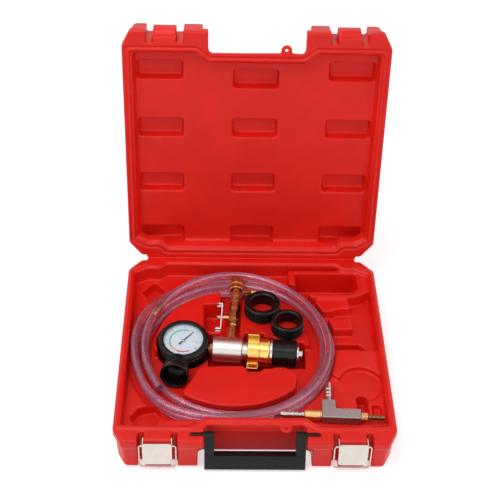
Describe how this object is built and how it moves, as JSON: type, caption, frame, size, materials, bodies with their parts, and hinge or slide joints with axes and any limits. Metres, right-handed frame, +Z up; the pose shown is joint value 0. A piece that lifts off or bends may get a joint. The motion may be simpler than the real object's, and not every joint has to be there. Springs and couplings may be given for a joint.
{
  "type": "coolant vacuum filler kit",
  "caption": "Coolant vacuum filler kit: gauge tester with rubber plug, clear hose, rubber adapters and venturi in an open moulded case with carry handle and draw latches.",
  "frame": {"origin": "middle of the flat underside of the case base", "axes": "+Z up, +X to the right seen from the front, -Y to the front, where the handle and latches are"},
  "size_m": [0.35, 0.4283, 0.3982],
  "materials": {
    "case_plastic": "red blow-moulded polyethylene with a fine mould grain",
    "handle_plastic": "black moulded plastic",
    "latch_steel": "pressed and wire steel, zinc plated",
    "bright_steel": "bright plated steel",
    "dark_steel": "dark plated steel",
    "turned_aluminium": "bright turned aluminium",
    "sawn_aluminium": "tumbled aluminium",
    "gold_anodised": "gold anodised aluminium",
    "brass": "turned brass, slightly dulled",
    "black_rubber": "satin black rubber",
    "white_dial": "white printed dial",
    "clear_lens": "clear plastic lens",
    "clear_hose": "clear soft vinyl hose"
  },
  "bodies": {
    "case": {"case_base": "case_plastic", "latch_pin_left": "latch_steel", "latch_pin_right": "latch_steel", "hose_coil": "clear_hose", "hose_joiner": "brass", "hose_fitting": "brass"},
    "lid": {"case_lid": "case_plastic"},
    "handle": {"carry_handle": "handle_plastic"},
    "lever_left": {"latch_lever_left": "latch_steel"},
    "lever_right": {"latch_lever_right": "latch_steel"},
    "bail_left": {"latch_bail_left": "latch_steel"},
    "bail_right": {"latch_bail_right": "latch_steel"},
    "tester": {"gauge_boot": "black_rubber", "gauge_case": "bright_steel", "gauge_lens": "clear_lens", "gauge_dial": "white_dial", "gauge_movement": "brass", "bourdon_tube": "brass", "gauge_stem": "brass", "manifold_body": "turned_aluminium", "draw_tube": "bright_steel", "rubber_plug": "black_rubber", "end_washer": "bright_steel", "valve_tube": "brass", "valve_body": "brass", "coupler_body": "brass"},
    "needle": {"gauge_needle": "handle_plastic"},
    "valve_handle": {"valve_ball": "bright_steel", "valve_lever": "latch_steel", "lever_nut": "bright_steel"},
    "sleeve": {"coupler_sleeve": "brass"},
    "washer": {"press_washer": "bright_steel"},
    "nut": {"clamp_nut": "gold_anodised"},
    "ring_large": {"adapter_ring_large": "black_rubber"},
    "ring_small": {"adapter_ring_small": "black_rubber"},
    "taper": {"adapter_taper": "black_rubber"},
    "venturi": {"venturi_block": "sawn_aluminium", "air_nipple": "bright_steel", "inlet_collar": "brass", "quick_nipple": "bright_steel", "outlet_nut": "brass", "outlet_barb": "dark_steel"}
  },
  "joints": [
    {"name": "lid_hinge", "type": "hinge", "parent": "case", "child": "lid", "pos_m": [0, 0.174, 0.052], "axis": [-1, 0, 0], "range_deg": [-95.6, 0]},
    {"name": "handle_hinge", "type": "hinge", "parent": "case", "child": "handle", "pos_m": [0, -0.16, 0.0488], "axis": [-1, 0, 0], "range_deg": [0, 160]},
    {"name": "lever_left_hinge", "type": "hinge", "parent": "case", "child": "lever_left", "pos_m": [-0.1195, -0.1655, 0.046], "axis": [-1, 0, 0], "range_deg": [0, 120]},
    {"name": "lever_right_hinge", "type": "hinge", "parent": "case", "child": "lever_right", "pos_m": [0.1195, -0.1655, 0.046], "axis": [-1, 0, 0], "range_deg": [0, 120]},
    {"name": "bail_left_hinge", "type": "hinge", "parent": "lever_left", "child": "bail_left", "pos_m": [-0.1195, -0.1725, 0.043], "axis": [-1, 0, 0], "range_deg": [0, 140]},
    {"name": "bail_right_hinge", "type": "hinge", "parent": "lever_right", "child": "bail_right", "pos_m": [0.1195, -0.1725, 0.043], "axis": [-1, 0, 0], "range_deg": [0, 140]},
    {"name": "tester_lift", "type": "slide", "parent": "case", "child": "tester", "axis": [0, 0, 1], "range_m": [0, 0.12]},
    {"name": "needle_hinge", "type": "hinge", "parent": "tester", "child": "needle", "pos_m": [-0.09277, 0.00882, 0.034], "axis": [-0.0109, -0.1387, 0.9903], "range_deg": [0, 270]},
    {"name": "valve_hinge", "type": "hinge", "parent": "tester", "child": "valve_handle", "pos_m": [-0.0257, 0.05868, 0.04172], "axis": [0.9969, -0.0785, 0], "range_deg": [0, 90]},
    {"name": "sleeve_slide", "type": "slide", "parent": "tester", "child": "sleeve", "axis": [-0.0777, -0.9872, -0.1392], "range_m": [0, 0.004], "stiffness_N_per_m": 300, "springref_m": -0.002},
    {"name": "washer_slide", "type": "slide", "parent": "tester", "child": "washer", "axis": [0.9969, -0.0785, 0], "range_m": [0, 0.0031], "deforming": ["rubber_plug"]},
    {"name": "nut_spin", "type": "hinge", "parent": "washer", "child": "nut", "pos_m": [-0.034, 0.0042, 0.034], "axis": [0.9969, -0.0785, 0], "range_deg": [0, 540]},
    {"name": "ring_large_lift", "type": "slide", "parent": "case", "child": "ring_large", "axis": [0, 0, 1], "range_m": [0, 0.12]},
    {"name": "ring_small_lift", "type": "slide", "parent": "case", "child": "ring_small", "axis": [0, 0, 1], "range_m": [0, 0.12]},
    {"name": "taper_lift", "type": "slide", "parent": "case", "child": "taper", "axis": [0, 0, 1], "range_m": [0, 0.12]},
    {"name": "venturi_lift", "type": "slide", "parent": "case", "child": "venturi", "axis": [0, 0, 1], "range_m": [0, 0.12]}
  ],
  "couplings": [
    {"joint": "washer_slide", "follows": "nut_spin", "m_per_rad": 0.00031831}
  ]
}
